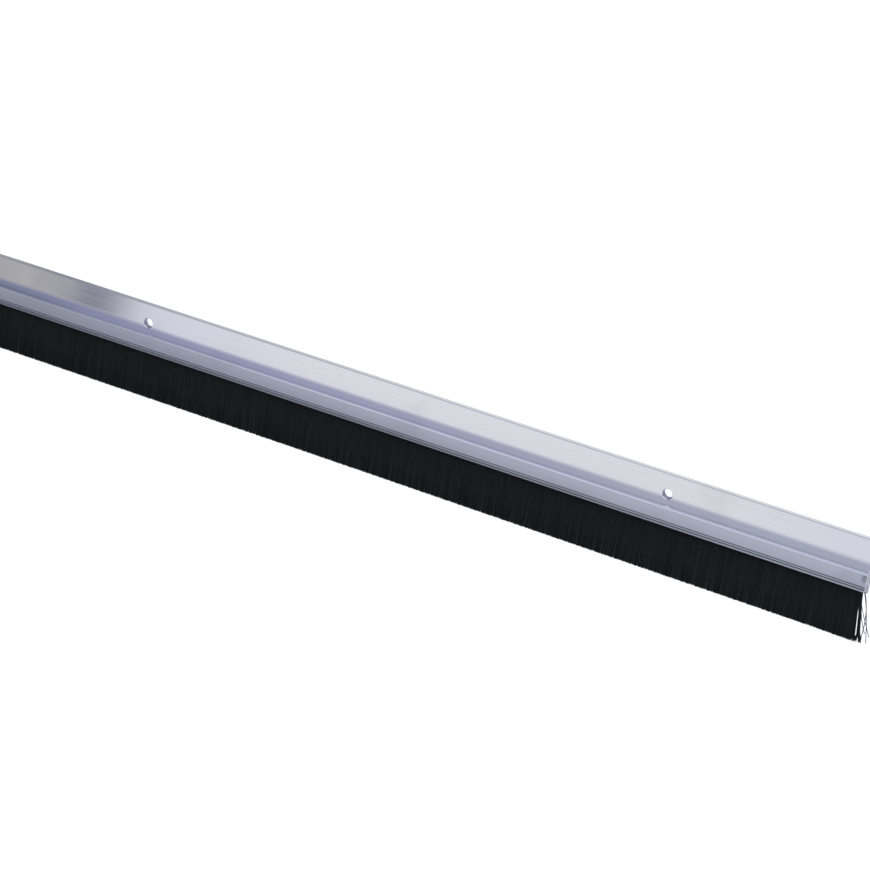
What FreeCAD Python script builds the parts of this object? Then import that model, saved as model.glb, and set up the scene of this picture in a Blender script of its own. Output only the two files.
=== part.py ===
import FreeCAD, Part
import math
import os

os.makedirs("parts", exist_ok=True)
V = FreeCAD.Vector

# A strip that seals the gap under a door: an aluminium carrier, screwed on through its flange,
# grips a folded steel channel that holds the bristles on a core wire.
# The strip runs along X, its front faces -Y and the bristles hang towards -Z.
# The origin is the middle of the row of screw holes, on the back face that lies on the door.
# Sections are drawn with depth, measured forwards from the back face, and height.

# Carrier
LENGTH = 914.0
FLANGE_THICKNESS = 2.4
HOLE_TO_TOP = 8.75
HOLE_TO_COVE = 0.4
COVE_RADIUS = 3.3
BEAD_GROOVE_WIDTH = 0.35
BEAD_GROOVE_DEPTH = 0.25
CORNER_RADIUS = 0.5
HOLE_TO_FRONT_LIP = 12.2
WALL_BOW = 0.3
REAR_LIP_DROP = 2.5
EDGE_ROUND = 0.35
REAR_WALL = 1.3

# Screw holes
HOLE_COUNT = 4
HOLE_DIAMETER = 4.2
HOLE_TO_END = 86.5
HOLE_EDGE_BREAK = 0.2

# Two fine lines drawn along the front, measured up from the lip
UPPER_LINE_HEIGHT = 2.25
UPPER_LINE_RADIUS = 0.28
LOWER_LINE_HEIGHT = 1.2
LOWER_LINE_RADIUS = 0.32

# Dents punched into the front at both ends, which lock the channel in the carrier
STAKE_RADIUS = 2.2
STAKE_DEPTH = 0.25
STAKE_BELOW_CORNER = 1.6
STAKE_TO_END = 0.6

# Folded steel channel
CHANNEL_WIDTH = 3.2
CHANNEL_HEIGHT = 5.2
CHANNEL_SHEET = 0.45
CHANNEL_BEND = 0.9
CRIMP_HEIGHT = 1.5
CRIMP_INSET = 0.25
CHANNEL_SIDE_CLEARANCE = 0.1
CHANNEL_END_CLEARANCE = 0.1
HOOK_HEIGHT = 1.5
HOOK_OVERLAP = 0.25
END_RECESS = 1.4

# Core wire and bristles
WIRE_DIAMETER = 0.9
WIRE_CLEARANCE = 0.02
BRISTLE_CLEARANCE = 0.05
BRISTLE_DROP = 21.2
TIP_WIDTH = 4.4
TUFT_PITCH = 2.5
TUFT_RELIEF = 0.16
SKIRT_STEP = 0.05
SPLAY_REACH = 1.6
STRAY_THICKNESS = 0.3

top = HOLE_TO_TOP
cove_start = -HOLE_TO_COVE
shoulder = cove_start - COVE_RADIUS
bead_start = FLANGE_THICKNESS + COVE_RADIUS + BEAD_GROOVE_WIDTH
front = bead_start + CORNER_RADIUS
front_lip = -HOLE_TO_FRONT_LIP
rear_lip = front_lip - REAR_LIP_DROP
wall_top = shoulder - CORNER_RADIUS
wall_height = wall_top - front_lip - EDGE_ROUND
wall_radius = (wall_height ** 2 + WALL_BOW ** 2) / (2 * WALL_BOW)

channel_half = CHANNEL_WIDTH / 2
cavity_half = channel_half + CHANNEL_SIDE_CLEARANCE
slot_centre = REAR_WALL + cavity_half
hook_top = front_lip + HOOK_HEIGHT
channel_bottom = hook_top + CHANNEL_END_CLEARANCE
channel_top = channel_bottom + CHANNEL_HEIGHT
cavity_top = channel_top + CHANNEL_END_CLEARANCE
mouth_half = channel_half - CRIMP_INSET - HOOK_OVERLAP

insert_length = LENGTH - 2 * END_RECESS
wire_radius = WIRE_DIAMETER / 2
loop_radius = channel_half - CHANNEL_SHEET - BRISTLE_CLEARANCE
loop_centre = channel_top - CHANNEL_SHEET - BRISTLE_CLEARANCE - loop_radius
jaw_half = channel_half - CRIMP_INSET - CHANNEL_SHEET
stem_half = jaw_half - BRISTLE_CLEARANCE
tip = front_lip - BRISTLE_DROP
tip_half = TIP_WIDTH / 2


class Outline:
    """A closed section in the YZ plane, drawn edge by edge as (depth, height)."""

    def __init__(self, depth, height):
        self.edges = []
        self.start = self.here = V(0, -depth, height)

    def line(self, depth, height):
        there = V(0, -depth, height)
        self.edges.append(Part.LineSegment(self.here, there).toShape())
        self.here = there
        return self

    def arc(self, centre, radius, start_degrees, end_degrees):
        """An arc whose angles are measured upwards from the forward direction."""
        points = []
        for degrees in (start_degrees, (start_degrees + end_degrees) / 2, end_degrees):
            angle = math.radians(degrees)
            forward = centre[0] + radius * math.cos(angle)
            points.append(V(0, -forward, centre[1] + radius * math.sin(angle)))
        self.edges.append(Part.Arc(*points).toShape())
        self.here = points[-1]
        return self

    def extrude(self, length):
        if self.here.distanceToPoint(self.start) > 1e-7:
            self.edges.append(Part.LineSegment(self.here, self.start).toShape())
        face = Part.Face(Part.Wire(self.edges))
        face.translate(V(-length / 2, 0, 0))
        return face.extrude(V(length, 0, 0))


def rod_along_x(radius, length, depth, height):
    return Part.makeCylinder(radius, length, V(-length / 2, -depth, height), V(1, 0, 0))


def hole_positions():
    pitch = (LENGTH - 2 * HOLE_TO_END) / (HOLE_COUNT - 1)
    return [-LENGTH / 2 + HOLE_TO_END + i * pitch for i in range(HOLE_COUNT)]


def wall_depth(height):
    """Depth of the front wall, which bows back from its top to the lip along one large arc."""
    return front - wall_radius + math.sqrt(wall_radius ** 2 - (wall_top - height) ** 2)


def carrier_blank():
    """The extrusion: flange, cove, rounded corner, front wall and the slot between two hooks."""
    r = EDGE_ROUND
    s = Outline(0, rear_lip + r)
    s.line(0, top - r).arc((r, top - r), r, 180, 90)
    s.line(FLANGE_THICKNESS - r, top).arc((FLANGE_THICKNESS - r, top - r), r, 90, 0)
    s.line(FLANGE_THICKNESS, cove_start)
    s.arc((FLANGE_THICKNESS + COVE_RADIUS, cove_start), COVE_RADIUS, 180, 270)
    s.line(bead_start - BEAD_GROOVE_WIDTH / 2, shoulder - BEAD_GROOVE_DEPTH)
    s.line(bead_start, shoulder)
    s.arc((bead_start, wall_top), CORNER_RADIUS, 90, 0)
    s.arc((front - wall_radius, wall_top), wall_radius, 0, -math.degrees(math.asin(wall_height / wall_radius)))
    s.arc((front - WALL_BOW - r, front_lip + r), r, 0, -90)
    s.line(slot_centre + mouth_half, front_lip)
    s.line(slot_centre + mouth_half, hook_top)
    s.line(slot_centre + cavity_half, hook_top)
    s.line(slot_centre + cavity_half, cavity_top - r)
    s.arc((slot_centre + cavity_half - r, cavity_top - r), r, 0, 90)
    s.line(slot_centre - cavity_half + r, cavity_top)
    s.arc((slot_centre - cavity_half + r, cavity_top - r), r, 90, 180)
    s.line(slot_centre - cavity_half, hook_top)
    s.line(slot_centre - mouth_half, hook_top)
    s.line(slot_centre - mouth_half, front_lip)
    s.line(REAR_WALL, front_lip - (slot_centre - mouth_half - REAR_WALL))
    s.line(REAR_WALL, rear_lip + r).arc((REAR_WALL - r, rear_lip + r), r, 0, -90)
    s.line(r, rear_lip).arc((r, rear_lip + r), r, -90, -180)
    return s.extrude(LENGTH)


def drill(x):
    """A screw hole with its front edge broken, which also nicks the foot of the cove."""
    radius = HOLE_DIAMETER / 2
    broken = radius + HOLE_EDGE_BREAK
    seat = FLANGE_THICKNESS - HOLE_EDGE_BREAK
    forward = V(0, -1, 0)
    hole = Part.makeCylinder(radius, front + 1, V(x, 1, 0), forward)
    edge_break = Part.makeCone(radius, broken, HOLE_EDGE_BREAK, V(x, -seat, 0), forward)
    clear = Part.makeCylinder(broken, COVE_RADIUS, V(x, -FLANGE_THICKNESS, 0), forward)
    return hole.multiFuse([edge_break, clear])


def make_carrier():
    body = carrier_blank()
    for height, radius in ((UPPER_LINE_HEIGHT, UPPER_LINE_RADIUS), (LOWER_LINE_HEIGHT, LOWER_LINE_RADIUS)):
        line_height = front_lip + height
        body = body.cut(rod_along_x(radius, LENGTH + 2, wall_depth(line_height), line_height))
    body = body.cut([drill(x) for x in hole_positions()])
    stake_height = wall_top - STAKE_BELOW_CORNER
    for side in (-1, 1):
        x = side * (LENGTH / 2 - STAKE_TO_END)
        punch = Part.makeSphere(STAKE_RADIUS, V(x, -(front + STAKE_RADIUS - STAKE_DEPTH), stake_height))
        body = body.cut(punch)
    return body


def make_channel():
    """Sheet folded into an upside-down U, its edges crimped towards the bristles."""
    crimp_start = channel_bottom + CRIMP_HEIGHT
    inner_half = channel_half - CHANNEL_SHEET
    inner_bend = CHANNEL_BEND - CHANNEL_SHEET
    bend_centre = channel_top - CHANNEL_BEND
    arm = channel_half - CHANNEL_BEND
    c = slot_centre
    s = Outline(c + channel_half - CRIMP_INSET, channel_bottom)
    s.line(c + channel_half, crimp_start).line(c + channel_half, bend_centre)
    s.arc((c + arm, bend_centre), CHANNEL_BEND, 0, 90)
    s.line(c - arm, channel_top).arc((c - arm, bend_centre), CHANNEL_BEND, 90, 180)
    s.line(c - channel_half, crimp_start).line(c - channel_half + CRIMP_INSET, channel_bottom)
    s.line(c - jaw_half, channel_bottom).line(c - inner_half, crimp_start)
    s.line(c - inner_half, bend_centre).arc((c - arm, bend_centre), inner_bend, 180, 90)
    s.line(c + arm, channel_top - CHANNEL_SHEET).arc((c + arm, bend_centre), inner_bend, 90, 0)
    s.line(c + inner_half, crimp_start).line(c + jaw_half, channel_bottom)
    return s.extrude(insert_length)


def bristle_root():
    """The bristles' folded middles: a loop over the core wire that narrows to the crimped jaws."""
    c = slot_centre
    foot = front_lip + HOOK_HEIGHT / 2
    throat = channel_bottom + CRIMP_HEIGHT
    s = Outline(c + stem_half, foot)
    s.line(c + stem_half, channel_bottom).line(c + loop_radius, throat)
    s.line(c + loop_radius, loop_centre).arc((c, loop_centre), loop_radius, 0, 180)
    s.line(c - loop_radius, throat).line(c - stem_half, channel_bottom).line(c - stem_half, foot)
    root = s.extrude(insert_length)
    return root.cut(rod_along_x(wire_radius + WIRE_CLEARANCE, insert_length + 2, c, loop_centre))


def tuft_edge(phase):
    """Outline of one side of the brush, seen from above, as (x, relief) at each tuft and gap."""
    reach = insert_length / 2 - SKIRT_STEP
    count = round(2 * reach / TUFT_PITCH)
    pitch = 2 * reach / count
    points = [(-reach, 0.0)]
    for i in range(1, 2 * count):
        wander = math.sin(2.4 * i + phase) + math.sin(0.37 * i + 2 * phase)
        x = -reach + i * pitch / 2 + 0.1 * pitch * wander
        crest = i % 2
        points.append((x, TUFT_RELIEF * (crest * (0.75 + 0.25 * math.sin(1.7 * i + phase)) - 0.5)))
    points.append((reach, 0.0))
    return points


def polygon_face(points):
    return Part.Face(Part.makePolygon(points + points[:1]))


def bristle_skirt():
    """The hanging part: it fans out from the slot to the trimmed tips and shows its tufts."""
    top_height = front_lip + HOOK_HEIGHT / 2
    top_half = stem_half - TUFT_RELIEF / 2 - SKIRT_STEP
    bottom_half = tip_half - TUFT_RELIEF / 2
    rings = []
    for height, half in ((top_height, top_half), (tip, bottom_half)):
        fore = [V(x, -(slot_centre + half + relief), height) for x, relief in tuft_edge(0.3)]
        aft = [V(x, -(slot_centre - half - relief), height) for x, relief in tuft_edge(1.9)]
        rings.append(fore + aft[::-1])
    upper, lower = rings
    count = len(upper)
    faces = [polygon_face(upper), polygon_face(lower)]
    for i in range(count):
        j = (i + 1) % count
        faces.append(polygon_face([upper[i], upper[j], lower[j], lower[i]]))
    return Part.Solid(Part.Shell(faces))


def bent_bristle(root, bow, end, width, thickness):
    """A bristle or tuft of rectangular section, bent along the arc through three points."""
    path = Part.Wire([Part.Arc(root, bow, end).toShape()])
    w = width / 2
    t = thickness / 2
    section = Part.makePolygon([root + V(a * w, b * t, 0) for a, b in ((-1, -1), (1, -1), (1, 1), (-1, 1), (-1, -1))])
    return path.makePipeShell([section], True, True)


def end_bristles():
    """The frayed right-hand end: one splayed tuft, and single bristles that stand away from it."""
    end_x = insert_length / 2
    start = front_lip + HOOK_HEIGHT / 2
    pieces = []
    tuft_x = end_x - 0.6
    pieces.append(bent_bristle(
        V(tuft_x, -slot_centre, start),
        V(tuft_x + 0.25 * SPLAY_REACH, -slot_centre, (start + tip) / 2),
        V(tuft_x + SPLAY_REACH, -slot_centre, tip),
        1.0, 2 * stem_half - 0.4))
    for across, mid_reach, end_reach, lift in ((-0.4, 2.4, 4.8, 0.0), (0.1, 0.6, 5.5, 2.1), (0.45, 2.5, 2.7, 0.2)):
        pieces.append(bent_bristle(
            V(end_x - 0.3, -(slot_centre + across), start),
            V(end_x + mid_reach, -(slot_centre + across), (start + tip) / 2 + 2),
            V(end_x + end_reach, -(slot_centre + 2 * across), tip + lift),
            STRAY_THICKNESS, STRAY_THICKNESS))
    return pieces


def make_bristles():
    return bristle_root().multiFuse([bristle_skirt()] + end_bristles()).removeSplitter()


def export(name, shape):
    solids = shape.Solids
    if len(solids) != 1 or not shape.isValid():
        raise ValueError(f"{name}: {len(solids)} solids, valid {shape.isValid()}")
    solids[0].exportStep(f"parts/{name}.step")
    print(name, "volume", round(solids[0].Volume, 1), "faces", len(solids[0].Faces))


export("aluminium_carrier", make_carrier())
export("steel_channel", make_channel())
export("core_wire", rod_along_x(wire_radius, insert_length, slot_centre, loop_centre))
export("bristles", make_bristles())
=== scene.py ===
import logging
import math
from dataclasses import dataclass
from enum import Enum

import bpy
import numpy as np
from mathutils import Matrix


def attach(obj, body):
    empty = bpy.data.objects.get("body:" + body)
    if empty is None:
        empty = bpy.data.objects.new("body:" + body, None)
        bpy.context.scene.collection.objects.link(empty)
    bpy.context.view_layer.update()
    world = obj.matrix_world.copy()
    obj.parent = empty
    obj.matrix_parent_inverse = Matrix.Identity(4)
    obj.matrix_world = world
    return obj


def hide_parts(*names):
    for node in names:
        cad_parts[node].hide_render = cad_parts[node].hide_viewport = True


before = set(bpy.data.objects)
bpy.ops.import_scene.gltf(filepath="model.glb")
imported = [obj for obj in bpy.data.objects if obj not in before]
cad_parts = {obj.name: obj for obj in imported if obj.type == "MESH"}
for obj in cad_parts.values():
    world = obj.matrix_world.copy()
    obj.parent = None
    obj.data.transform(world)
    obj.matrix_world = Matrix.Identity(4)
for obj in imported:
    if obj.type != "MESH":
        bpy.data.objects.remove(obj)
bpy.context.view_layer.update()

log = logging.getLogger("brush_seal_strip")
MM = 0.001
GOLDEN_SHARE = 0.6180339887
WHITE = (1.0, 1.0, 1.0, 1.0)
BLACK = (0.0, 0.0, 0.0, 1.0)
BUMP_STRENGTH = 0.5
Colour = tuple[float, float, float]
Point = tuple[float, float, float]


class Slot(Enum):
    """The record's material slots."""

    ALUMINIUM = "satin_aluminium"
    ZINC = "zinc_plated_steel"
    BRISTLE = "black_bristle"


class Section(Enum):
    """The three runs of bristles along the strip, from its left-hand end."""

    LEFT = 0
    MIDDLE = 1
    RIGHT = 2


class Axis(Enum):
    """What a step of a patch is measured along."""

    ALONG = 0
    DEPTH = 1
    HEIGHT = 2
    FROM_MIDDLE = 3


def new_object(name: str, points: np.ndarray, faces: list[np.ndarray], smooth: bool) -> bpy.types.Object:
    """Makes a mesh object at the origin from whole arrays.

    Args:
        name: the piece's name.
        points: corner points in millimetres, one row each.
        faces: arrays of corner numbers, one array for each number of corners.
        smooth: whether faces are shaded smooth.
    Returns:
        The object, linked to the scene.
    """
    corners = np.concatenate([f.ravel() for f in faces]).astype(np.int32)
    sides = np.concatenate([np.full(len(f), f.shape[1]) for f in faces])
    starts = (np.cumsum(sides) - sides).astype(np.int32)
    mesh = bpy.data.meshes.new(name)
    mesh.vertices.add(len(points))
    mesh.vertices.foreach_set("co", (points * MM).astype(np.float32).ravel())
    mesh.loops.add(len(corners))
    mesh.loops.foreach_set("vertex_index", corners)
    mesh.polygons.add(len(starts))
    mesh.polygons.foreach_set("loop_start", starts)
    mesh.polygons.foreach_set("use_smooth", np.full(len(starts), smooth))
    mesh.update(calc_edges=True)
    mesh.validate()
    piece = bpy.data.objects.new(name, mesh)
    bpy.context.scene.collection.objects.link(piece)
    return piece


def card(name: str, profile: np.ndarray, half: float, material: bpy.types.Material) -> bpy.types.Object:
    """Makes one stage card that runs straight along X.

    Args:
        name: the card's name.
        profile: depth and height of each point of its outline, in millimetres.
        half: half its length.
        material: its material.
    Returns:
        The card.
    """
    n = len(profile)
    depth, height = np.tile(profile, (2, 1)).T
    points = np.stack([np.repeat([-half, half], n), depth, height], axis=1)
    i = np.arange(n - 1)
    sheet = new_object(name, points, [np.stack([i, i + n, i + n + 1, i + 1], axis=1)], False)
    sheet.data.materials.append(material)
    return sheet


class Wiring:
    """Adds shader nodes to one tree and joins them."""

    def __init__(self, tree: bpy.types.NodeTree) -> None:
        """Keeps the tree that the nodes go into."""
        self.tree = tree

    def add(self, kind: str, inputs: dict | None = None, **settings: object) -> bpy.types.Node:
        """Adds one node.

        Args:
            kind: the node's type, without its ShaderNode prefix.
            inputs: a value, or the socket that feeds it, for each input by name or number.
            settings: the node's own properties.
        Returns:
            The new node.
        """
        node = self.tree.nodes.new("ShaderNode" + kind)
        for name, value in settings.items():
            setattr(node, name, value)
        for key, value in (inputs or {}).items():
            if isinstance(value, bpy.types.NodeSocket):
                self.tree.links.new(value, node.inputs[key])
            else:
                node.inputs[key].default_value = value
        return node

    def link(self, source: bpy.types.NodeSocket, node: bpy.types.Node, key: str | int) -> None:
        """Joins a socket to one of a node's inputs."""
        self.tree.links.new(source, node.inputs[key])

    def place(self) -> bpy.types.NodeOutputs:
        """Adds the Object coordinates and returns one socket for each axis."""
        return self.add("SeparateXYZ", {0: self.add("TexCoord").outputs["Object"]}).outputs

    def compute(self, operation: str, first: object, second: object = 0.0,
                third: object = 0.0) -> bpy.types.NodeSocket:
        """Adds a Math node and returns its result."""
        return self.add("Math", {0: first, 1: second, 2: third}, operation=operation).outputs[0]

    def product(self, first: object, *others: object) -> object:
        """Multiplies numbers with each other.

        Args:
            first: the first number or socket.
            others: the rest of them.
        Returns:
            The last product.
        """
        for other in others:
            first = self.compute("MULTIPLY", first, other)
        return first

    def noise(self, vector: object, scale: object, detail: float, roughness: float) -> bpy.types.NodeSocket:
        """Adds a Noise node and returns its level."""
        inputs = {"Vector": vector, "Scale": scale, "Detail": detail, "Roughness": roughness}
        return self.add("TexNoise", inputs).outputs[0]

    def spread(self, value: object, low: float, high: float, first: float = 0.0,
               last: float = 1.0) -> bpy.types.NodeSocket:
        """Turns the run of value from low to high into a smooth run from first to last."""
        inputs = {"Value": value, "From Min": low, "From Max": high, "To Min": first, "To Max": last}
        return self.add("MapRange", inputs, interpolation_type="SMOOTHSTEP").outputs["Result"]

    def blend(self, share: object, first: object, second: object) -> bpy.types.NodeSocket:
        """Mixes two colours by share and returns the result."""
        return self.add("Mix", {0: share, 6: first, 7: second}, data_type="RGBA").outputs[2]

    def between(self, share: object, first: object, second: object) -> bpy.types.NodeSocket:
        """Mixes two numbers by share and returns the result."""
        return self.add("Mix", {0: share, 2: first, 3: second}).outputs[0]

    def bump(self, shader: bpy.types.Node, height: bpy.types.NodeSocket, depth: float) -> None:
        """Lets a height, times depth in millimetres, bend the shader's normal."""
        node = self.add("Bump", {"Strength": BUMP_STRENGTH, "Distance": depth * MM, "Height": height})
        self.link(node.outputs[0], shader, "Normal")


def colour4(colour: Colour, scale: float = 1.0) -> tuple[float, float, float, float]:
    """Writes a colour, times scale, as a shader socket takes it."""
    return (*(c * scale for c in colour), 1.0)


class SharedEffects:
    """Node groups that several finishes use, each built once."""

    fine_share: float = 0.5
    coarse_scale: float = 0.16
    cut_margin: float = 0.03
    saw_slant: float = 0.35
    saw_depth_scale: float = 90.0

    def __init__(self) -> None:
        """Builds the groups."""
        self.groups = {
            "die_lines": self.die_lines(),
            "handling_marks": self.handling_marks(),
            "cut_end": self.cut_end(),
            "dust": self.dust(),
        }

    def use(self, w: Wiring, name: str, inputs: dict[str, float]) -> bpy.types.NodeOutputs:
        """Puts one of the groups into a material.

        Args:
            w: the material's wiring.
            name: the group's name.
            inputs: the material's own values for the group's inputs.
        Returns:
            The group's outputs.
        """
        node = w.tree.nodes.new("ShaderNodeGroup")
        node.node_tree = self.groups[name]
        for key, value in inputs.items():
            node.inputs[key].default_value = value
        return node.outputs

    @staticmethod
    def start(name: str, inputs: dict[str, float],
              outputs: list[str]) -> tuple[Wiring, bpy.types.Node, bpy.types.Node]:
        """Starts an empty group.

        Args:
            name: the group's name.
            inputs: each input's name and usual value.
            outputs: each output's name.
        Returns:
            The wiring of the group, its input node and its output node.
        """
        tree = bpy.data.node_groups.new(name, "ShaderNodeTree")
        for key, value in inputs.items():
            socket = tree.interface.new_socket(key, in_out="INPUT", socket_type="NodeSocketFloat")
            socket.default_value = value
        for key in outputs:
            tree.interface.new_socket(key, in_out="OUTPUT", socket_type="NodeSocketFloat")
        return Wiring(tree), tree.nodes.new("NodeGroupInput"), tree.nodes.new("NodeGroupOutput")

    def die_lines(self) -> bpy.types.NodeTree:
        """Builds the fine straight lines that a die or a roll leaves along X.

        They are noise drawn out along the strip. The height is fine noise, and the tone is the mean
        of it and of a coarser one.

        Returns:
            The group's tree.
        """
        spacing = {"Lines per metre": 3000.0, "Length per metre": 1.5}
        w, given, out = self.start("die_lines", spacing, ["Height", "Tone"])
        place = w.add("TexCoord").outputs["Object"]
        scale = w.add("CombineXYZ", {0: given.outputs[1], 1: given.outputs[0], 2: given.outputs[0]})
        drawn = w.add("VectorMath", {0: place, 1: scale.outputs[0]}, operation="MULTIPLY").outputs[0]
        fine = w.noise(drawn, scale=1.0, detail=2.0, roughness=0.6)
        coarse = w.noise(drawn, scale=self.coarse_scale, detail=1.0, roughness=0.5)
        coarse = w.product(coarse, 1.0 - self.fine_share)
        w.link(fine, out, "Height")
        w.link(w.compute("MULTIPLY_ADD", fine, self.fine_share, coarse), out, "Tone")
        return w.tree

    def patches(self, name: str, inputs: dict[str, float], detail: float, roughness: float,
                softness: float) -> bpy.types.NodeTree:
        """Builds a mask of patches, which is noise cut off at a level.

        Args:
            name: the group's name.
            inputs: its two inputs, how many patches a metre holds and the level, with usual values.
            detail: the noise's detail.
            roughness: the noise's roughness.
            softness: how far above the level the mask is full.
        Returns:
            The group's tree.
        """
        w, given, out = self.start(name, inputs, ["Mask"])
        level = w.noise(w.add("TexCoord").outputs["Object"], given.outputs[0], detail, roughness)
        above = w.compute("SUBTRACT", level, given.outputs[1])
        w.link(w.spread(above, 0.0, softness), out, "Mask")
        return w.tree

    def handling_marks(self) -> bpy.types.NodeTree:
        """Builds the soft dull patches where the metal was handled."""
        inputs = {"Patches per metre": 25.0, "Level": 0.55}
        return self.patches("handling_marks", inputs, detail=3.0, roughness=0.55, softness=0.14)

    def dust(self) -> bpy.types.NodeTree:
        """Builds a thin scatter of pale specks."""
        inputs = {"Specks per metre": 900.0, "Level": 0.72}
        return self.patches("dust", inputs, detail=2.0, roughness=0.7, softness=0.08)

    def cut_end(self) -> bpy.types.NodeTree:
        """Builds the look of the sawn end faces: a mask for them, and slanting saw lines.

        The mask is full from a small margin before the end. The lines are noise that changes fast
        with the height plus the slant times the depth, and slowly with the depth.

        Returns:
            The group's tree.
        """
        w, given, out = self.start("cut_end", {"End": 0.457, "Lines per metre": 2200.0}, ["Mask", "Height"])
        place = w.place()
        reach = w.compute("SUBTRACT", w.compute("ABSOLUTE", place[0]), given.outputs[0])
        w.link(w.compute("GREATER_THAN", reach, -self.cut_margin * MM), out, "Mask")
        across = w.product(w.compute("MULTIPLY_ADD", place[1], self.saw_slant, place[2]), given.outputs[1])
        spot = w.add("CombineXYZ", {0: across, 1: w.product(place[1], self.saw_depth_scale)}).outputs[0]
        w.link(w.noise(spot, scale=1.0, detail=2.0, roughness=0.5), out, "Height")
        return w.tree


def new_material(name: str) -> tuple[bpy.types.Material, Wiring, bpy.types.Node]:
    """Starts a material.

    Args:
        name: the material's name.
    Returns:
        The material, the wiring of its tree, and its Principled shader.
    """
    material = bpy.data.materials.new(name)
    material.use_nodes = True
    return material, Wiring(material.node_tree), material.node_tree.nodes["Principled BSDF"]


@dataclass(frozen=True)
class Patch:
    """A patch of the strip's surface, given by smooth steps in millimetres.

    Each step says what it is measured along, where the mask starts and where it is full.
    """

    steps: tuple[tuple[Axis, float, float], ...]

    def mask(self, w: Wiring, axes: list[bpy.types.NodeSocket]) -> bpy.types.NodeSocket:
        """Works out the patch's mask, which is the product of its steps.

        Args:
            w: the material's wiring.
            axes: the socket of each axis, in the order of Axis.
        Returns:
            The mask.
        """
        return w.product(*(w.spread(axes[axis.value], start * MM, full * MM)
                           for axis, start, full in self.steps))


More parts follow.
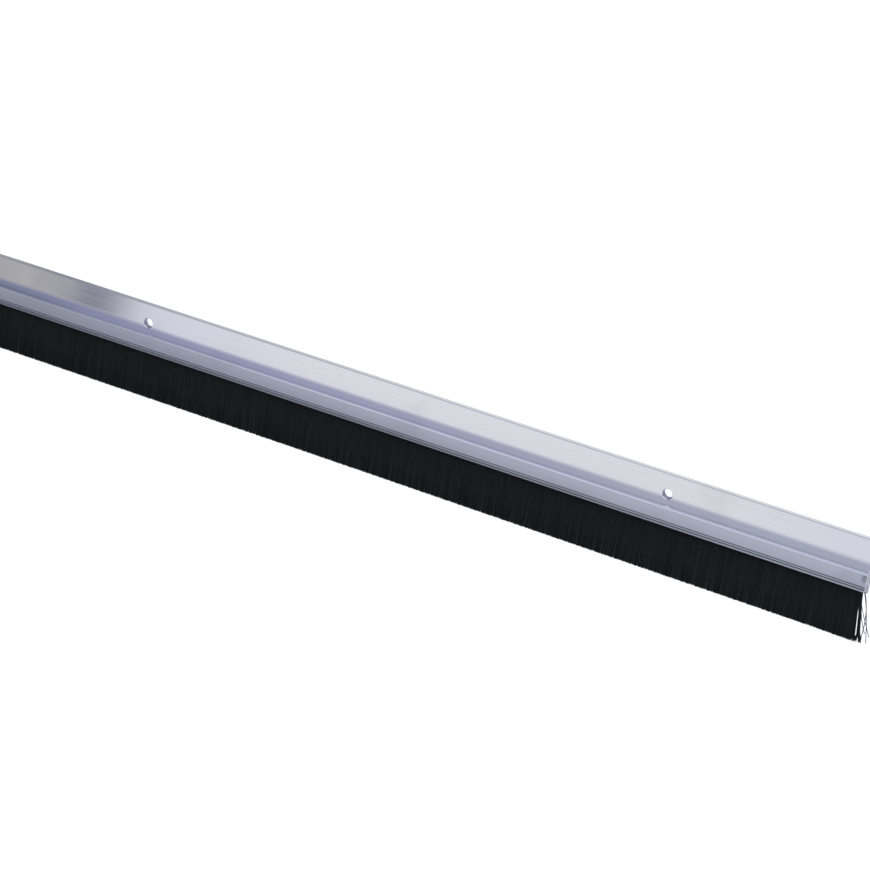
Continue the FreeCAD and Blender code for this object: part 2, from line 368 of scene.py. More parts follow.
@dataclass(frozen=True)
class DrawnAluminium:
    """Satin anodised aluminium, extruded: bright flange, rougher front wall with painted shade, sawn ends.

    The corner over the wall and the ledge at the cove's foot carry painted highlights, both less so
    towards the left. The bores are rougher and carry painted shade, and the last of the slot, at both
    ends, is painted pale, rough and not metallic, as painted light. Painted shade lies in the drawn lines,
    on the lip below them, except towards the right-hand end, and in the dents of the staking tool.
    """

    colour: Colour = (0.657, 0.661, 0.669)
    # the front wall's colour is darker and bluer than the flange's: painted shade for its dimmer reflections
    wall_colour_with_painted_shade: Colour = (0.54, 0.567, 0.622)
    # a painted highlight along the corner over the wall
    corner_painted_highlight_colour: Colour = (0.8, 0.81, 0.87)
    # a painted highlight on the ledge, standing in for the flange mirrored in it
    ledge_painted_highlight_colour: Colour = (0.82, 0.845, 0.875)
    # darker blue grey inside the screw holes: painted shade
    bore_painted_shade_colour: Colour = (0.36, 0.35, 0.45)
    # near white, not metallic, in the slot mouth at both ends: painted light, so the slot's end reads lit
    mouth_painted_light_colour: Colour = (0.96, 0.96, 0.97)
    sawn_colour: Colour = (0.49, 0.52, 0.57)
    flange_roughness: float = 0.1
    wall_roughness: float = 0.36
    ledge_roughness: float = 0.28
    bore_roughness: float = 0.5
    mouth_roughness: float = 0.85
    mark_roughness: float = 0.035
    line_roughness: float = 0.08
    sawn_roughness: float = 0.18
    wall: Patch = Patch(((Axis.DEPTH, -4.9, -5.3), (Axis.HEIGHT, -3.95, -4.25)))
    # the corner patch, fading out towards the left, carries the painted highlight
    corner: Patch = Patch(((Axis.HEIGHT, -3.56, -3.68), (Axis.HEIGHT, -4.45, -4.05),
                           (Axis.DEPTH, -5.6, -5.75), (Axis.ALONG, 80.0, 260.0)))
    # the ledge patch, faint towards the left, carries the painted highlight
    ledge: Patch = Patch(((Axis.HEIGHT, -4.3, -4.1), (Axis.ALONG, 30.0, 115.0),
                          (Axis.DEPTH, -4.0, -4.5), (Axis.DEPTH, -5.85, -5.6)))
    # the slot mouth patch carries the painted light
    mouth: Patch = Patch(((Axis.FROM_MIDDLE, 455.5, 455.8), (Axis.DEPTH, -4.95, -4.85),
                          (Axis.HEIGHT, -4.3, -4.5)))
    # the lip and dent patches hold painted shade; the lip's fades out towards the right-hand end
    lip: Patch = Patch(((Axis.HEIGHT, -11.25, -11.4),))
    lip_shade_fade_right: Patch = Patch(((Axis.ALONG, 320.0, 450.0),))
    dented_end: Patch = Patch(((Axis.FROM_MIDDLE, 454.2, 456.2),))
    bore_depths: tuple[float, float] = (-2.3, -0.05)
    bore_reach: float = 2.3
    groove_heights: tuple[float, float] = (-9.95, -11.0)
    groove_halves: tuple[float, float] = (0.28, 0.32)
    # darkening inside the drawn lines: painted shade
    groove_painted_shade_shares: tuple[float, float] = (0.33, 0.25)
    groove_fade: tuple[float, float] = (0.5, 1.05)
    # darkening on the lip: painted shade
    lip_painted_shade_share: float = 0.68
    dent_height: float = -6.3
    dent_fade: tuple[float, float] = (2.4, 0.3)
    # darkening in the staking dents: painted shade
    dent_painted_shade_share: float = 0.6
    clean_share: float = 1.012
    mark_share: float = 0.96
    line_tones: tuple[float, float] = (0.3, 0.7)
    line_shares: tuple[float, float] = (0.965, 1.035)
    line_depth: float = 0.004
    end: float = 457.0

    def painted_shade_share(self, w: Wiring, axes: list[bpy.types.NodeSocket]) -> bpy.types.NodeSocket:
        """Works out the painted shade on the front wall, as the share of light it leaves.

        Args:
            w: the material's wiring.
            axes: the socket of each axis.
        Returns:
            The share: small inside each drawn line, fading out at its edges, a little under one on
            the lip, and small in the dents, all painted shade.
        """
        height = axes[Axis.HEIGHT.value]
        lip_left = w.between(self.lip_shade_fade_right.mask(w, axes), self.lip_painted_shade_share, 1.0)
        left = w.between(self.lip.mask(w, axes), 1.0, lip_left)
        for middle, half, share in zip(self.groove_heights, self.groove_halves, self.groove_painted_shade_shares):
            away = w.compute("ABSOLUTE", w.compute("SUBTRACT", height, middle * MM))
            full, clear = (part * half * MM for part in self.groove_fade)
            left = w.product(left, w.spread(away, full, clear, share, 1.0))
        away = w.compute("ABSOLUTE", w.compute("SUBTRACT", height, self.dent_height * MM))
        dent = w.product(self.dented_end.mask(w, axes), w.spread(away, *(r * MM for r in self.dent_fade)))
        return w.product(left, w.between(dent, 1.0, self.dent_painted_shade_share))

    def bores(self, w: Wiring, axes: list[bpy.types.NodeSocket]) -> bpy.types.NodeSocket:
        """Masks the walls of the screw holes.

        Args:
            w: the material's wiring.
            axes: the socket of each axis.
        Returns:
            The mask: full inside the flange, near the height of the holes.
        """
        ahead, behind = (depth * MM for depth in self.bore_depths)
        depth = axes[Axis.DEPTH.value]
        level = w.compute("LESS_THAN", w.compute("ABSOLUTE", axes[Axis.HEIGHT.value]), self.bore_reach * MM)
        inside = w.product(w.compute("LESS_THAN", depth, behind), w.compute("GREATER_THAN", depth, ahead))
        return w.product(level, inside)

    def material(self, effects: SharedEffects) -> bpy.types.Material:
        """Builds the material.

        Args:
            effects: the shared node groups.
        Returns:
            The finished material.
        """
        material, w, shader = new_material("drawn_aluminium")
        axes = [*w.place()]
        axes.append(w.compute("ABSOLUTE", axes[0]))
        wall, ledge, mouth = (patch.mask(w, axes) for patch in (self.wall, self.ledge, self.mouth))
        bores = self.bores(w, axes)
        lines = effects.use(w, "die_lines", {"Lines per metre": 3200.0, "Length per metre": 1.2})
        marks = effects.use(w, "handling_marks", {"Patches per metre": 22.0, "Level": 0.54})
        ends = effects.use(w, "cut_end", {"End": self.end * MM})
        faced: object = colour4(self.colour)
        # the wall, corner, ledge, bore and slot mouth colours carry painted shade, painted highlights and
        # painted light
        for mask, colour in ((wall, self.wall_colour_with_painted_shade), (self.corner.mask(w, axes), self.corner_painted_highlight_colour),
                             (ledge, self.ledge_painted_highlight_colour), (bores, self.bore_painted_shade_colour),
                             (mouth, self.mouth_painted_light_colour)):
            faced = w.blend(mask, faced, colour4(colour))
        tone = w.spread(lines["Tone"], *self.line_tones, *self.line_shares)
        # painted shade in the drawn lines, on the lip and in the dents
        painted_shade_share = w.between(wall, 1.0, self.painted_shade_share(w, axes))
        marked = w.between(marks["Mask"], self.clean_share, self.mark_share)
        inputs = {0: faced, "Scale": w.product(tone, painted_shade_share, marked)}
        faced = w.add("VectorMath", inputs, operation="SCALE").outputs[0]
        w.link(w.blend(ends["Mask"], faced, colour4(self.sawn_colour)), shader, "Base Color")
        level: object = self.flange_roughness
        for mask, roughness in ((wall, self.wall_roughness), (ledge, self.ledge_roughness),
                                (bores, self.bore_roughness), (mouth, self.mouth_roughness)):
            level = w.between(mask, level, roughness)
        level = w.compute("MULTIPLY_ADD", marks["Mask"], self.mark_roughness, level)
        streak = w.compute("SUBTRACT", lines["Tone"], 0.5)
        level = w.compute("MULTIPLY_ADD", streak, self.line_roughness, level)
        level = w.compute("MULTIPLY_ADD", ends["Mask"], self.sawn_roughness, level)
        w.link(level, shader, "Roughness")
        w.bump(shader, w.between(ends["Mask"], lines["Height"], ends["Height"]), self.line_depth)
        w.link(w.between(mouth, 1.0, 0.0), shader, "Metallic")
        return material


@dataclass(frozen=True)
class ZincPlate:
    """Dull zinc plating on rolled steel, cloudy in patches, with bare cut ends."""

    name: str
    colour: Colour = (0.5, 0.51, 0.53)
    cut_colour: Colour = (0.36, 0.35, 0.34)
    cloud_share: float = 0.82
    roughness: float = 0.38
    cloud_roughness: float = 0.12
    line_depth: float = 0.003
    end: float = 455.6

    def material(self, effects: SharedEffects) -> bpy.types.Material:
        """Builds the material.

        Args:
            effects: the shared node groups.
        Returns:
            The finished material.
        """
        material, w, shader = new_material(self.name)
        lines = effects.use(w, "die_lines", {"Lines per metre": 4500.0, "Length per metre": 6.0})
        clouds = effects.use(w, "handling_marks", {"Patches per metre": 160.0, "Level": 0.48})
        ends = effects.use(w, "cut_end", {"End": self.end * MM})
        cloudy = w.blend(clouds["Mask"], colour4(self.colour), colour4(self.colour, self.cloud_share))
        w.link(w.blend(ends["Mask"], cloudy, colour4(self.cut_colour)), shader, "Base Color")
        rough = w.compute("MULTIPLY_ADD", clouds["Mask"], self.cloud_roughness, self.roughness)
        w.link(rough, shader, "Roughness")
        w.bump(shader, lines["Height"], self.line_depth)
        shader.inputs["Metallic"].default_value = 1.0
        return material


@dataclass(frozen=True)
class BlackNylon:
    """Black nylon filaments: each has its own tone, with a faint sheen and a little dust."""

    dark: Colour = (0.0045, 0.0047, 0.005)
    light: Colour = (0.012, 0.0125, 0.014)
    dusty: Colour = (0.05, 0.05, 0.05)
    dust_share: float = 0.35
    roughness: float = 0.48
    tone_roughness: float = 0.12
    gloss: float = 0.28

    def material(self, effects: SharedEffects) -> bpy.types.Material:
        """Builds the material, which reads each filament's tone from the mesh.

        Args:
            effects: the shared node groups.
        Returns:
            The finished material.
        """
        material, w, shader = new_material("black_nylon")
        tone = w.add("Attribute", attribute_name="tone").outputs["Fac"]
        dust = effects.use(w, "dust", {"Specks per metre": 700.0, "Level": 0.66})
        shade = w.blend(tone, colour4(self.dark), colour4(self.light))
        dusted = w.blend(w.product(dust["Mask"], self.dust_share), shade, colour4(self.dusty))
        w.link(dusted, shader, "Base Color")
        w.link(w.compute("MULTIPLY_ADD", tone, self.tone_roughness, self.roughness), shader, "Roughness")
        shader.inputs["Specular IOR Level"].default_value = self.gloss
        return material


def dress_node(name: str, material: bpy.types.Material) -> None:
    """Gives a CAD node its material.

    Args:
        name: the node's name.
        material: its material.
    """
    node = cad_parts[name]
    if not node.material_slots:
        node.data.materials.append(material)
    for holder in node.material_slots:
        holder.material = material
    log.info("%s dressed, %d faces", name, len(node.data.polygons))


@dataclass
class Carrier:
    """The extruded aluminium carrier, which keeps its CAD mesh."""

    finish: DrawnAluminium

    def dress(self, effects: SharedEffects) -> None:
        """Gives the carrier its finish."""
        dress_node("aluminium_carrier", self.finish.material(effects))


@dataclass
class Insert:
    """The folded steel channel and the core wire inside the carrier's slot."""

    channel_finish: ZincPlate
    wire_finish: ZincPlate

    def dress(self, effects: SharedEffects) -> None:
        """Gives the channel and the wire their finishes."""
        dress_node("steel_channel", self.channel_finish.material(effects))
        dress_node("core_wire", self.wire_finish.material(effects))


def quadratic_paths(root: np.ndarray, bend: np.ndarray, tip: np.ndarray, rings: int) -> np.ndarray:
    """Works out points along many bent lines at once.

    At a share t of the way each point is (1 - t) squared times the root, plus twice t times
    (1 - t) times the bend, plus t squared times the tip.

    Args:
        root: first points, one row for each line.
        bend: points that pull the middles.
        tip: last points.
        rings: how many points each line gets.
    Returns:
        An array of line, ring and coordinate.
    """
    t = np.linspace(0.0, 1.0, rings)[None, :, None]
    return (1 - t) ** 2 * root[:, None] + 2 * t * (1 - t) * bend[:, None] + t ** 2 * tip[:, None]


def tubes(paths: np.ndarray, radius: np.ndarray, sides: int) -> tuple[np.ndarray, list[np.ndarray]]:
    """Lays a closed thin tube along each of many lines that run near a plane across the strip.

    A ring point is the path point, plus the radius times the cosine of an angle along X, plus the
    radius times its sine along the normal, which is X crossed with the line's direction.

    Args:
        paths: array of line, ring and coordinate, in millimetres.
        radius: each tube's radius.
        sides: how many sides a tube has.
    Returns:
        The points, and the faces as arrays of corner numbers.
    """
    count, rings, _ = paths.shape
    along = np.gradient(paths, axis=1)
    normal = np.cross([1.0, 0.0, 0.0], along)
    normal /= np.linalg.norm(normal, axis=2, keepdims=True)
    angle = np.arange(sides) * 2 * math.pi / sides
    side = np.cos(angle)[None, None, :, None] * np.array([1.0, 0.0, 0.0])
    deep = np.sin(angle)[None, None, :, None] * normal[:, :, None, :]
    points = paths[:, :, None, :] + radius[:, None, None, None] * (side + deep)
    number = np.arange(count * rings * sides).reshape(count, rings, sides)
    turned = np.roll(number, -1, axis=2)
    walls = np.stack([number[:, :-1], number[:, 1:], turned[:, 1:], turned[:, :-1]], axis=-1)
    caps = np.concatenate([number[:, 0], number[:, -1, ::-1]])
    return points.reshape(-1, 3), [walls.reshape(-1, 4), caps]


def set_tone(piece: bpy.types.Object, tone: np.ndarray) -> None:
    """Writes each point's tone into the mesh."""
    layer = piece.data.attributes.new("tone", "FLOAT", "POINT")
    layer.data.foreach_set("value", tone.astype(np.float32))


@dataclass
class Brush:
    """The bristles: folded over the core wire, gripped by the channel, fanned out and trimmed."""

    finish: BlackNylon
    half_length: float = 455.6
    depth: float = 3.0
    loop_height: float = -7.0
    root_height: float = -10.9
    root_half: float = 0.7
    bend_height: float = -19.0
    bend_half: float = 1.1
    tip_height: float = -33.4
    tip_half: float = 2.2
    trim_places: tuple[float, ...] = (-455.6, 45.0, 200.0, 300.0, 440.0, 455.6)
    trim_drops: tuple[float, ...] = (0.42, 0.42, 0.17, 0.4, 0.69, 1.05)
    trim_jitter: float = 0.03

    filaments: int = 8000
    radius: float = 0.135
    radius_jitter: float = 0.008
    rings: int = 4
    sides: int = 3
    tone: tuple[float, float] = (0.45, 0.25)
    first_gap: float = 0.15
    last_gap: float = 0.6
    waves: tuple[tuple[float, float, float], ...] = ((0.3, 0.86, 0.0), (0.22, 2.17, 1.0), (0.16, 0.31, 2.0))
    lean_reach: float = 4.0
    lean_jitter: float = 0.2
    across_jitter: float = 0.03
    bend_jitter: float = 0.06
    bend_lean: float = 0.2
    bend_pull: float = 0.27
    fan_reach: float = 6.0
    tip_fan: float = 1.1
    step_reach: float = 4.0
    sight_slope: float = 0.2555

    core_inset: float = 1.5
    core_short: float = 0.2
    core_drops: tuple[float, ...] = (0.4, 0.8, 1.2, 1.6, 2.1, 3.0, 3.9, 5.4)
    core_halves: tuple[float, ...] = (1.04, 1.04, 1.04, 1.04, 1.04, 0.85, 0.62, 0.62)
    core_fan: float = 1.4
    arch_points: int = 19
    fan_points: int = 9
    wire_hole: float = 0.5
    core_tone: float = 0.1

    loop_insets: tuple[float, ...] = (0.02, 0.28, 0.55)
    loop_sizes: tuple[float, ...] = (0.62, 0.82, 1.0)
    loop_radius: float = 0.11
    loop_jitter: float = 0.02
    loop_points: int = 11
    loop_sides: int = 4
    loop_tones: tuple[float, float] = (0.3, 1.0)
    leg_drops: tuple[float, ...] = (-3.4, -2.2, -1.1)
    leg_halves: tuple[float, ...] = (0.62, 0.9, 1.0)

    tuft_filaments: int = 110
    tuft_heights: tuple[float, ...] = (-10.9, -14.0, -17.4, -19.5, -21.2, -22.6, -25.0, -28.0, -31.0,
                                       -32.7, -33.9)
    tuft_left: tuple[float, ...] = (-0.7, -0.55, -0.35, -0.25, -0.12, 0.14, 0.34, 0.64, 0.92, 0.96, 0.4)
    tuft_right: tuple[float, ...] = (-0.05, 0.25, 0.45, 0.72, 0.92, 1.15, 1.43, 1.74, 2.15, 2.6, 3.3)
    tuft_halves: tuple[float, ...] = (0.7, 0.75, 0.9, 1.0, 1.1, 1.15, 1.3, 1.5, 1.7, 1.8, 1.8)
    tuft_excess: tuple[float, float] = (-0.1, 0.6)
    tuft_sides: int = 4
    tuft_tones: tuple[float, float] = (0.2, 0.8)
    fork_height: float = -32.0
    fork_share: float = 0.35
    fork_start: float = 0.62
    fork_slope: float = 0.585

    stray_points: tuple[tuple[tuple[float, float], ...], ...] = (
        ((-0.2, -11.0), (2.6, -16.5), (4.0, -24.0), (2.9, -34.7)),
        ((-0.3, -11.0), (-0.6, -19.0), (2.6, -23.5), (5.96, -31.4)),
        ((-0.2, -11.0), (2.4, -16.0), (4.0, -25.0), (5.25, -33.9)),
        ((-0.3, -11.0), (0.2, -19.5), (1.3, -25.5), (4.1, -30.9)),
        ((-0.25, -11.0), (0.5, -18.0), (1.6, -27.0), (2.7, -34.9)),
    )
    stray_depths: tuple[float, ...] = (-0.45, 0.1, 0.5, -0.1, 0.3)
    stray_fan: float = 1.6
    stray_radius: float = 0.16
    stray_rings: int = 15
    stray_sides: int = 6
    stray_tone: float = 0.9
    seed: int = 41

    def build(self, effects: SharedEffects) -> None:
        """Builds, dresses and declares every piece of the brush.

        Args:
            effects: the shared node groups.
        """
        material = self.finish.material(effects)
        made = [self.core()]
        made += [self.run(section) for section in Section]
        made += [self.loops(), self.splayed_tuft(), self.strays()]
        for piece in made:
            piece.data.materials.append(material)
            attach(piece, "root")
            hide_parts("bristles")
            log.info("%s built, %d faces", piece.name, len(piece.data.polygons))

    def trim(self, x: np.ndarray) -> np.ndarray:
        """Gives the height of the trimmed tips at places along X; the shears wandered a little."""
        return self.tip_height - np.interp(x, self.trim_places, self.trim_drops)

    def points(self, x: object, deep: np.ndarray, height: object) -> np.ndarray:
        """Joins places along X, depths in front of the brush's middle plane, and heights."""
        return np.stack(np.broadcast_arrays(x, -(self.depth + deep), height), axis=-1)

    @staticmethod
    def bundle(name: str, paths: np.ndarray, radius: object, sides: int, tone: object) -> bpy.types.Object:
        """Makes a piece of closed tubes.

        Args:
            name: the piece's name.
            paths: array of line, ring and coordinate, in millimetres.
            radius: one radius for all tubes, or one for each.
            sides: how many sides a tube has.
            tone: one tone for all tubes, or one for each.
        Returns:
            The piece.
        """
        count, rings, _ = paths.shape
        points, faces = tubes(paths, np.broadcast_to(radius, count), sides)
        piece = new_object(name, points, faces, True)
        set_tone(piece, np.repeat(np.broadcast_to(tone, count), rings * sides))
        return piece

    def core(self) -> bpy.types.Object:
        """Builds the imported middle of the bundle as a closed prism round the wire.

        Its outline is seen from the wire's centre: a half circle over the wire, legs that close in
        towards the jaws, and a fan that stops just short of the tips, which it follows along X and,
        at the right-hand end, outwards. The hole for the wire has one point towards each point of
        the outline.

        Returns:
            The piece.
        """
        turn = np.linspace(0.0, math.pi, self.arch_points)
        arch = self.core_halves[0] * np.stack([np.cos(turn), np.sin(turn)], axis=1)
        fan = np.linspace(0.0, 1.0, self.fan_points)[1:]
        waist_drop, waist = self.core_drops[-1], self.core_halves[-1]
        wide = np.concatenate([self.core_halves, waist + self.core_fan * fan])
        reach = self.half_length - self.core_inset
        stations = np.clip(self.trim_places, -reach, reach)
        rings = []
        for x, tip in zip(stations, self.trim(stations)):
            last = self.loop_height - tip - self.core_short
            down = np.concatenate([self.core_drops, waist_drop + fan * (last - waist_drop)])
            left = np.stack([-wide, -down], axis=1)
            outline = np.concatenate([arch, left, left[::-1] * [-1.0, 1.0]])
            hole = self.wire_hole * outline / np.linalg.norm(outline, axis=1, keepdims=True)
            place = np.concatenate([outline, hole])
            out = self.tip_fan * (x == stations[-1]) * (np.clip(place[:, 1], None, 0.0) / last) ** 2
            rings.append(self.points(x + out, place[:, 0], self.loop_height + place[:, 1]))
        n = len(outline)
        i = np.arange(n)
        j = np.roll(i, -1)
        low = 2 * n * np.arange(len(stations) - 1)[:, None]
        high = low + 2 * n
        walls = np.stack([i + low, j + low, j + high, i + high], axis=-1)
        bores = n + np.stack([j + low, i + low, i + high, j + high], axis=-1)
        first = np.stack([i + n, j + n, j, i], axis=1)
        last = high[-1] + np.stack([j + n, i + n, i, j], axis=1)
        faces = np.concatenate([np.stack([walls, bores], axis=1).reshape(-1, 4), first, last])
        piece = new_object("bristle_core", np.concatenate(rings), [faces], False)
        set_tone(piece, np.full(2 * n * len(stations), self.core_tone))
        return piece

    def run(self, section: Section) -> bpy.types.Object:
        """Builds one run of bristles.

        Roots stand in even steps along X with a little jitter. Across the slot they follow the sine
        of evenly spread angles, so the front and back rows are the densest and the trimmed edge is
        straight. Slow waves along X lean the tips into tufts. Near the right-hand end the tips fan
        out by the square of the nearness to the end, and the rows step along X with their depth, so
        that the block ends along one line of sight.

        Args:
            section: which run.
        Returns:
            The piece.
        """
        rng = np.random.default_rng(self.seed + section.value)
        n = self.filaments
        last = self.half_length - self.last_gap
        low = -self.half_length + self.first_gap
        step = (last - low) / len(Section)
        x = low + step * (section.value + (np.arange(n) + rng.uniform(0.0, 1.0, n)) / n)
        across = np.sin(math.pi * (np.mod(np.arange(n) * GOLDEN_SHARE, 1.0) - 0.5))
        inside = np.clip((self.half_length - np.abs(x)) / self.lean_reach, 0.0, 1.0)
        wave = sum(size * np.sin(x * rate + start) for size, rate, start in self.waves)
        lean = inside * (wave + rng.normal(0.0, self.lean_jitter, n))
        near = np.clip(1.0 - (last - x) / self.fan_reach, 0.0, 1.0) ** 2
        step_back = self.sight_slope * np.clip(1.0 - (last - x) / self.step_reach, 0.0, 1.0)
        root_deep = self.root_half * across
        bend_deep = self.bend_half * across
        tip_deep = self.tip_half * np.clip(across + rng.normal(0.0, self.across_jitter, n), -1.0, 1.0)
        bend_x = x + self.bend_lean * lean - self.bend_pull * near
        bend_x += inside * rng.normal(0.0, self.bend_jitter, n) + step_back * bend_deep
        tip_x = x + lean + self.tip_fan * near + step_back * tip_deep
        trim = self.trim(x) + rng.uniform(-self.trim_jitter, self.trim_jitter, n)
        root = self.points(x + step_back * root_deep, root_deep, self.root_height)
        bend = self.points(bend_x, bend_deep, self.bend_height)
        paths = quadratic_paths(root, bend, self.points(tip_x, tip_deep, trim), self.rings)
        radius = rng.normal(self.radius, self.radius_jitter, n)
        tone = np.clip(rng.normal(*self.tone, n), 0.0, 1.0)
        return self.bundle("bristles_" + section.name.lower(), paths, radius, self.sides, tone)

    def loops(self) -> bpy.types.Object:
        """Builds the folded middles that show at both ends of the channel.

        Each is a leg, a half circle over the wire and a second leg, as one line of points. The
        circle's radius and the legs' distance from the middle are times the size of the loop.

        Returns:
            The piece.
        """
        rng = np.random.default_rng(self.seed + 7)
        insets = self.half_length - np.array(self.loop_insets)
        x = np.repeat(np.concatenate([-insets, insets]), len(self.loop_sizes))
        x = x + rng.uniform(-self.loop_jitter, self.loop_jitter, len(x))
        size = np.tile(self.loop_sizes, 2 * len(insets))[:, None]
        turn = np.linspace(0.0, math.pi, self.loop_points)
        drops = np.tile(self.leg_drops, (len(size), 1))
        halves = np.array(self.leg_halves)
        forward = np.concatenate([halves, np.cos(turn), -halves[::-1]])[None] * size
        up = np.concatenate([drops, np.sin(turn)[None] * size, drops[:, ::-1]], axis=1)
        paths = self.points(x[:, None], forward, self.loop_height + up)
        tone = rng.uniform(*self.loop_tones, len(size))
        return self.bundle("bristle_loops", paths, self.loop_radius, self.loop_sides, tone)

    def splayed_tuft(self) -> bpy.types.Object:
        """Builds the last bristles at the right-hand end, which part from the rest and lean out.

        The tuft's left and right sides are given at a few heights, as distances beyond the end of
        the channel. Each bristle keeps one share of the way between them down to the fork, where
        the left third of the tips parts from the rest. How much longer each is grows with the cube
        of the way down.

        Returns:
            The piece.
        """
        rng = np.random.default_rng(self.seed + 11)
        n = self.tuft_filaments
        heights, left, right = (np.array(t) for t in (self.tuft_heights, self.tuft_left, self.tuft_right))
        share = rng.uniform(0.0, 1.0, n)[:, None]
        across = rng.uniform(-1.0, 1.0, n)[:, None]
        deep = across * np.array(self.tuft_halves)[None]
        beyond = self.fork_start + self.fork_slope * (share - self.fork_share)
        forked = np.where(share < self.fork_share, share, beyond)
        share = share + (heights < self.fork_height)[None] * (forked - share)
        place = left + share * (right - left) + self.sight_slope * deep
        longer = rng.uniform(*self.tuft_excess, n)[:, None] * np.linspace(0.0, 1.0, len(heights))[None] ** 3
        paths = self.points(self.half_length + place, deep, heights - longer)
        tone = rng.uniform(*self.tuft_tones, n)
        return self.bundle("bristle_splayed_tuft", paths, self.radius, self.tuft_sides, tone)

    def strays(self) -> bpy.types.Object:
        """Builds single bristles that stand away from the right-hand end.

        Each is a cubic curve: at a share t it is the sum of its four points weighted by (1 - t)
        cubed, 3t(1 - t) squared, 3t squared (1 - t), and t cubed. The points are distances beyond
        the end of the channel, with heights. Its depth grows with the share by the fan.

        Returns:
            The piece.
        """
        t = np.linspace(0.0, 1.0, self.stray_rings)[:, None]
        weights = np.concatenate([(1 - t) ** 3, 3 * t * (1 - t) ** 2, 3 * t ** 2 * (1 - t), t ** 3], axis=1)
        line = np.einsum("rk,skc->src", weights, np.array(self.stray_points))
        deep = np.array(self.stray_depths)[:, None] * (1 + self.stray_fan * t[:, 0][None])
        place = line[..., 0] + self.sight_slope * deep
        paths = self.points(self.half_length + place, deep, line[..., 1])
        return self.bundle("bristle_strays", paths, self.stray_radius, self.stray_sides, self.stray_tone)


@dataclass(frozen=True)
class CardGlow:
    """The glow of a card, as rows of colours at places along the strip, in millimetres.

    The place of a spot on a card is where the strip mirrors it to the camera. With k as the spot's
    distance from the X axis over the camera's, it is the spot's x plus k times the camera's x, all
    over one plus k. A second row takes over from the first as the spot's angle above the horizon,
    seen from the strip, rises through the ramp, sooner towards the right.
    """

    places: tuple[float, ...]
    colours: tuple[Colour, ...]
    high_places: tuple[float, ...] = ()
    high_colours: tuple[Colour, ...] = ()
    ramp: tuple[float, float] = (-22.0, 56.0)
    ramp_lead: float = 0.058
    ramp_centre: float = 150.0

    @staticmethod
    def row(w: Wiring, place: bpy.types.NodeSocket, places: tuple[float, ...],
            colours: tuple[Colour, ...]) -> object:
        """Blends a row of colours one after the other.

        Args:
            w: the material's wiring.
            place: the socket of the place along the strip.
            places: where each colour stands, in millimetres.
            colours: the colours.
        Returns:
            The last result, a colour if the row has only one.
        """
        shade: object = colour4(colours[0])
        for low, high, colour in zip(places, places[1:], colours[1:]):
            shade = w.blend(w.spread(place, low * MM, high * MM), shade, colour4(colour))
        return shade

    def material(self, name: str, camera_place: Point) -> bpy.types.Material:
        """Builds the glowing material.

        Args:
            name: the material's name.
            camera_place: where the photograph was taken from, in millimetres.
        Returns:
            The finished material.
        """
        material, w, shader = new_material(name)
        shader.inputs["Base Color"].default_value = BLACK
        shader.inputs["Specular IOR Level"].default_value = 0.0
        shader.inputs["Emission Strength"].default_value = 1.0
        spot = w.place()
        far = w.compute("MULTIPLY_ADD", spot[1], spot[1], w.product(spot[2], spot[2]))
        far = w.compute("SQRT", far)
        share = w.compute("DIVIDE", far, math.hypot(*camera_place[1:]) * MM)
        place = w.compute("MULTIPLY_ADD", share, camera_place[0] * MM, spot[0])
        place = w.compute("DIVIDE", place, w.compute("ADD", share, 1.0))
        shade = self.row(w, place, self.places, self.colours)
        if self.high_places:
            high = self.row(w, place, self.high_places, self.high_colours)
            rise = w.compute("ARCTAN2", spot[2], w.product(spot[1], -1.0))
            lead = math.radians(self.ramp_lead) / MM
            right = w.compute("SUBTRACT", place, self.ramp_centre * MM)
            rise = w.compute("MULTIPLY_ADD", right, lead, rise)
            shade = w.blend(w.spread(rise, *(math.radians(angle) for angle in self.ramp)), shade, high)
        if isinstance(shade, bpy.types.NodeSocket):
            w.link(shade, shader, "Emission Color")
        else:
            shader.inputs["Emission Color"].default_value = shade
        return material


SWEEP_GLOW = CardGlow(
    (50.0, 64.0, 78.0, 91.0, 103.0, 117.0, 140.0, 215.0, 390.0, 450.0),
    ((0.56, 0.545, 0.57), (0.71, 0.69, 0.71), (0.64, 0.63, 0.68), (0.17, 0.19, 0.27), (0.35, 0.37, 0.43),
     (0.96, 0.97, 1.08), (0.97, 0.98, 1.09), (1.05, 1.05, 1.12), (1.04, 1.04, 1.11), (0.98, 1.0, 1.1)),
    (45.0, 80.0, 97.0, 140.0, 304.0, 390.0, 450.0),
    ((0.27, 0.3, 0.45), (0.275, 0.31, 0.5), (0.36, 0.375, 0.6), (0.43, 0.445, 0.65), (0.5, 0.52, 0.68),
     (0.535, 0.555, 0.7), (0.51, 0.55, 0.69)))
NEAR_GLOW = CardGlow(
    (-6.0, 439.0), ((0.23, 0.255, 0.32), (0.38, 0.4, 0.46)),
    (-6.0, 200.0, 445.0), ((0.23, 0.255, 0.32), (0.31, 0.335, 0.4), (0.85, 0.87, 0.92)),
    (-44.0, -28.0), 0.0)
BEHIND_GLOW = CardGlow(
    (40.0, 93.0, 114.0, 151.0, 304.0, 450.0),
    ((0.5, 0.5, 0.52), (0.35, 0.35, 0.38), (0.56, 0.56, 0.59), (0.71, 0.71, 0.74), (0.96, 0.96, 0.99),
     (1.0, 1.0, 1.04)))
LOW_BEHIND_GLOW = CardGlow((0.0,), ((0.12, 0.12, 0.13),))


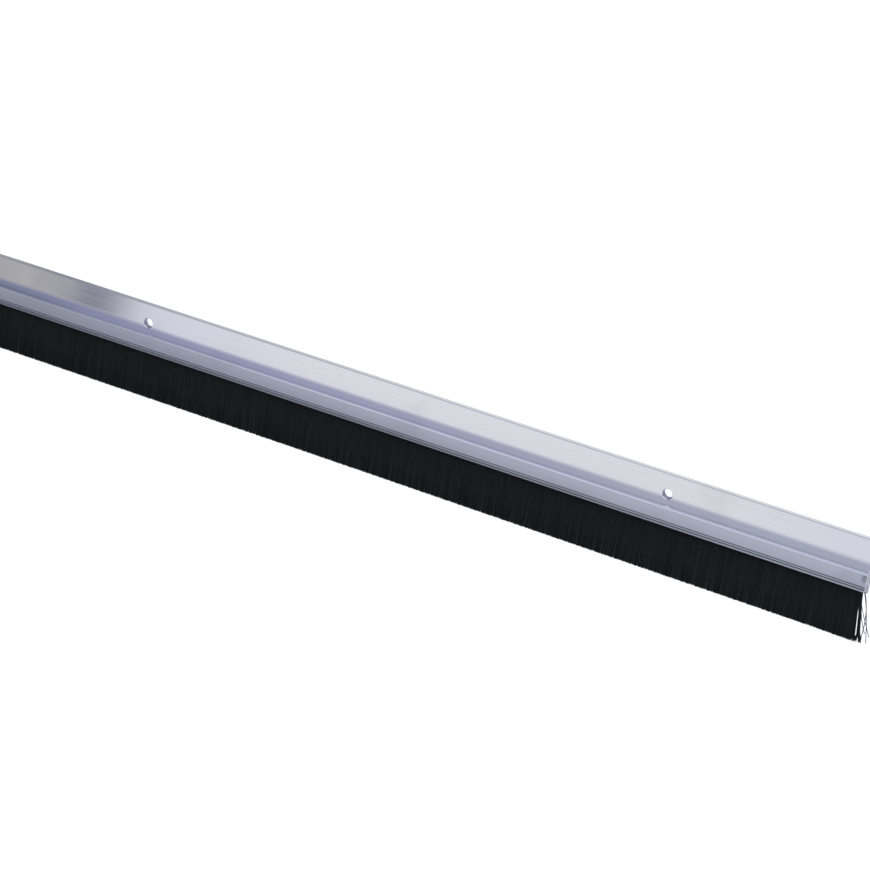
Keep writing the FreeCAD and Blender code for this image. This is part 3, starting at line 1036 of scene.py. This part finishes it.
@dataclass
class Studio:
    """White floor, soft light, cards that only the metal sees, and the camera."""

    floor_height: float = -330.0
    floor_half: float = 6000.0
    floor_grey: float = 0.9
    floor_roughness: float = 0.9
    floor_glow: float = 0.45
    surround: Colour = (0.62, 0.64, 0.73)
    mirrored: Colour = (0.53, 0.56, 0.71)
    card_lift: float = 5.0
    near_depth: float = -20.0
    sweep_depth: float = -580.0
    hood_depth: float = -3000.0
    hood_height: float = 800.0
    hood_end: float = 120.0
    hood_points: int = 17
    behind_depth: float = 1500.0
    behind_heights: tuple[float, float] = (250.0, 2600.0)
    lamp_place: Point = (1300.0, -900.0, 1500.0)
    lamp_aim: Point = (200.0, 0.0, 0.0)
    lamp_size: float = 1200.0
    lamp_watts: float = 5.0
    camera_place: Point = (681.51, -878.76, 452.61)
    azimuth: float = 25.356
    elevation: float = 25.392
    roll: float = 6.892
    focal_pixels: float = 2600.0
    image_pixels: float = 870.0
    sensor: float = 36.0
    clip: tuple[float, float] = (20.0, 50000.0)

    def build(self) -> None:
        """Sets up the view, the floor, the light, the cards and the camera."""
        bpy.context.scene.view_settings.view_transform = "Standard"
        self.floor()
        self.world()
        self.cards()
        self.lamp()
        self.camera()

    def floor(self) -> None:
        """Lays the floor: lit white, with a glow for camera, glossy and transmission rays."""
        material, w, shader = new_material("white_floor")
        shader.inputs["Base Color"].default_value = (self.floor_grey,) * 3 + (1.0,)
        shader.inputs["Roughness"].default_value = self.floor_roughness
        shader.inputs["Specular IOR Level"].default_value = 0.0
        shader.inputs["Emission Color"].default_value = WHITE
        rays = w.add("LightPath").outputs
        seen = w.compute("MAXIMUM", rays["Is Camera Ray"], rays["Is Glossy Ray"])
        seen = w.compute("MAXIMUM", seen, rays["Is Transmission Ray"])
        w.link(w.product(seen, self.floor_glow), shader, "Emission Strength")
        h, z = self.floor_half, self.floor_height
        card("floor", np.array([(-h, z), (h, z)]), h, material)

    def world(self) -> None:
        """Makes the world white to the camera, and pale blue grey, darker in the metal, to the rest."""
        world = bpy.data.worlds.new("soft_surround")
        world.use_nodes = True
        w = Wiring(world.node_tree)
        rays = w.add("LightPath").outputs
        lit = w.blend(rays["Is Glossy Ray"], colour4(self.surround), colour4(self.mirrored))
        shade = w.blend(rays["Is Camera Ray"], lit, WHITE)
        w.link(shade, world.node_tree.nodes["Background"], "Color")
        bpy.context.scene.world = world

    def cards(self) -> None:
        """Sets up the cards that only the metal mirrors.

        The sweep runs forward over the floor, up, and back overhead as part of a circle round the
        X axis. The flange mirrors its foot and the cove the rest, the wall the near card, and the
        top edge the cards behind.
        """
        low = self.floor_height + self.card_lift
        start = math.atan2(self.hood_height, -self.hood_depth)
        turn = np.linspace(start, math.radians(self.hood_end), self.hood_points)
        hood = math.hypot(self.hood_depth, self.hood_height) * np.stack([-np.cos(turn), np.sin(turn)], axis=1)
        deep, (middle, top) = self.behind_depth, self.behind_heights
        plan = (
            ("card_sweep", [(self.sweep_depth, low), (self.hood_depth, low), *hood], SWEEP_GLOW),
            ("card_near", [(self.sweep_depth, low), (self.near_depth, low)], NEAR_GLOW),
            ("card_behind", [(deep, middle), (deep, top)], BEHIND_GLOW),
            ("card_behind_low", [(deep, low), (deep, middle)], LOW_BEHIND_GLOW),
        )
        for name, profile, glow in plan:
            material = glow.material(name + "_glow", self.camera_place)
            sheet = card(name, np.array(profile), self.floor_half, material)
            sheet.visible_camera = False
            sheet.visible_diffuse = False
            sheet.visible_shadow = False
            sheet.visible_transmission = False

    def lamp(self) -> None:
        """Hangs one large soft lamp, high on the right in front."""
        light = bpy.data.lights.new("soft_lamp", "AREA")
        light.shape = "SQUARE"
        light.size = self.lamp_size * MM
        light.energy = self.lamp_watts
        lamp = bpy.data.objects.new("soft_lamp", light)
        bpy.context.scene.collection.objects.link(lamp)
        place = np.array(self.lamp_place) * MM
        back = place - np.array(self.lamp_aim) * MM
        lamp.matrix_world = self.looking(back / np.linalg.norm(back), 0.0, place)

    @staticmethod
    def looking(back: np.ndarray, roll: float, place: np.ndarray) -> Matrix:
        """Works out where a camera or lamp stands that looks against back.

        Args:
            back: unit direction from the thing looked at to the camera.
            roll: turn about the line of sight, in radians.
            place: where it stands, in metres.
        Returns:
            The 4 by 4 matrix.
        """
        right = np.cross([0.0, 0.0, 1.0], back)
        right /= np.linalg.norm(right)
        up = np.cross(back, right)
        turned = right * math.cos(roll) + up * math.sin(roll)
        raised = -right * math.sin(roll) + up * math.cos(roll)
        matrix = np.eye(4)
        matrix[:3, :3] = np.stack([turned, raised, back], axis=1)
        matrix[:3, 3] = place
        return Matrix(matrix.tolist())

    def camera(self) -> None:
        """Stands the camera where the photograph was taken from."""
        a, e = math.radians(self.azimuth), math.radians(self.elevation)
        back = np.array([math.sin(a) * math.cos(e), -math.cos(a) * math.cos(e), math.sin(e)])
        data = bpy.data.cameras.new("camera")
        data.sensor_width = self.sensor
        data.lens = self.focal_pixels / self.image_pixels * self.sensor
        data.clip_start, data.clip_end = (distance * MM for distance in self.clip)
        camera = bpy.data.objects.new("camera", data)
        bpy.context.scene.collection.objects.link(camera)
        camera.matrix_world = self.looking(back, math.radians(self.roll), np.array(self.camera_place) * MM)
        bpy.context.scene.camera = camera


def main() -> None:
    """Builds the strip's sub-assemblies in order, then the studio."""
    logging.basicConfig(level=logging.INFO, format="%(name)s: %(message)s")
    effects = SharedEffects()
    Carrier(DrawnAluminium()).dress(effects)
    wire = ZincPlate("zinc_wire", colour=(0.55, 0.55, 0.56), roughness=0.3)
    Insert(ZincPlate("zinc_channel"), wire).dress(effects)
    Brush(BlackNylon()).build(effects)
    Studio().build()


if __name__ == "__main__":
    main()
